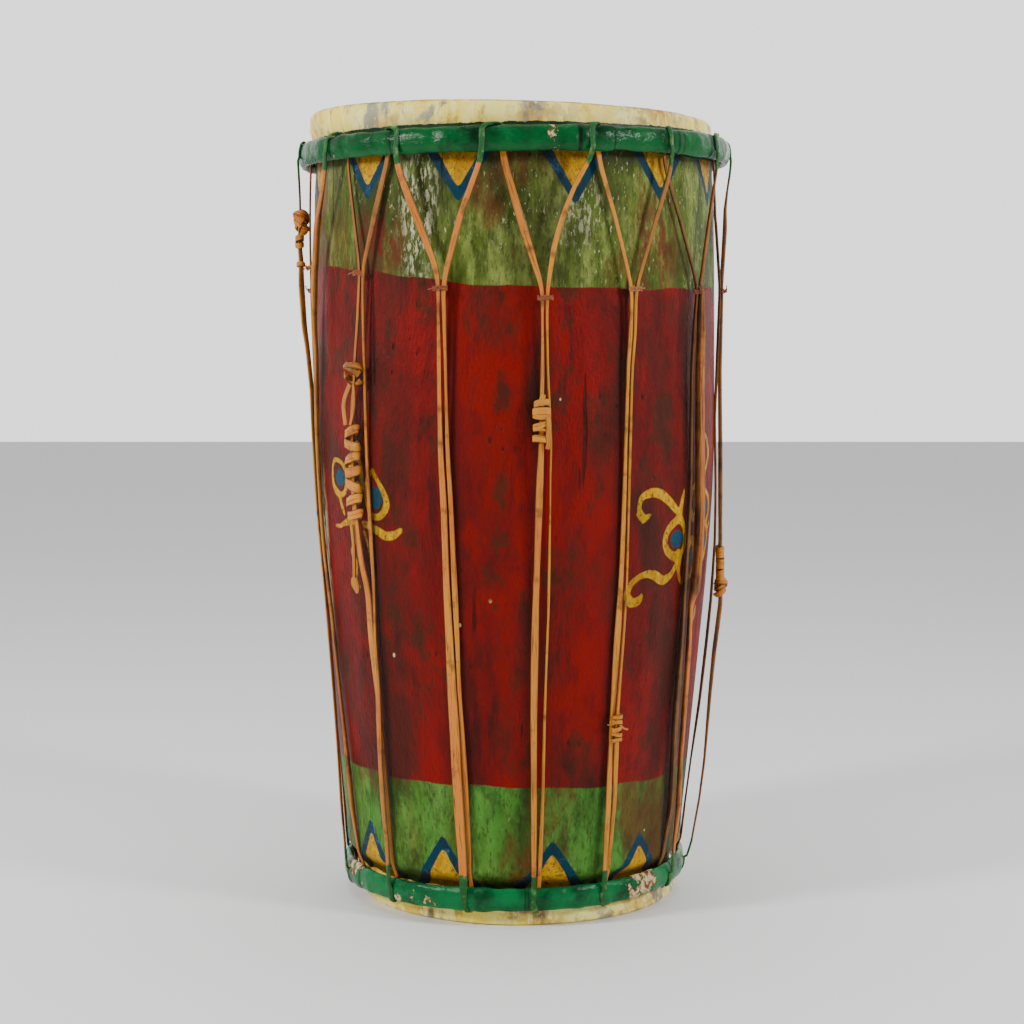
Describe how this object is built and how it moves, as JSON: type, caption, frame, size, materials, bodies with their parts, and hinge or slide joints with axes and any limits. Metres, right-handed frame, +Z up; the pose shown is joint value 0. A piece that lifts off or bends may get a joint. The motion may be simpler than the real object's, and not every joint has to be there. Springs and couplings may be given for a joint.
{
  "type": "laced ceremonial barrel drum",
  "caption": "Tapered two-headed wooden drum with rawhide heads, painted hoops and split-rattan lacing drawn into Y shapes.",
  "frame": {"origin": "centre of the drum's underside, on the lower head's flat face", "axes": "+Z up along the drum's axis towards the larger head, -Y the front, +X to the right seen from the front"},
  "size_m": [0.343, 0.3428, 0.6133],
  "materials": {
    "painted_wood": "worn oil paint on hardwood, red with green bands",
    "rawhide": "dry scraped rawhide, stained",
    "hoop_paint": "glossy green paint on bound cane",
    "rattan": "split rattan, half gloss on its bark side",
    "binding_cane": "fine cane fibre, matt"
  },
  "bodies": {
    "root": {"shell": "painted_wood", "upper_head": "rawhide", "lower_head": "rawhide", "upper_hoop": "hoop_paint", "lower_hoop": "hoop_paint", "strand_01_left": "rattan", "strand_01_right": "rattan", "strand_02_left": "rattan", "strand_02_right": "rattan", "strand_03_left": "rattan", "strand_03_right": "rattan", "strand_04_left": "rattan", "strand_04_right": "rattan", "strand_05_left": "rattan", "strand_05_right": "rattan", "strand_06_left": "rattan", "strand_06_right": "rattan", "strand_07_left": "rattan", "strand_07_right": "rattan", "strand_08_left": "rattan", "strand_08_right": "rattan", "strand_09_left": "rattan", "strand_09_right": "rattan", "strand_10_left": "rattan", "strand_10_right": "rattan", "strand_11_left": "rattan", "strand_11_right": "rattan", "strand_12_left": "rattan", "strand_12_right": "rattan", "strand_13_left": "rattan", "strand_13_right": "rattan", "strand_14_left": "rattan", "strand_14_right": "rattan", "knot_01": "rattan", "knot_02": "rattan", "knot_03": "rattan", "knot_04": "rattan", "knot_05": "rattan", "binding_01": "binding_cane", "binding_02": "binding_cane", "binding_03": "binding_cane", "binding_04": "binding_cane", "binding_05": "binding_cane", "binding_06": "binding_cane", "binding_07": "binding_cane", "binding_08": "binding_cane", "binding_09": "binding_cane", "binding_10": "binding_cane", "binding_11": "binding_cane", "binding_12": "binding_cane", "binding_13": "binding_cane", "binding_14": "binding_cane"}
  },
  "joints": []
}
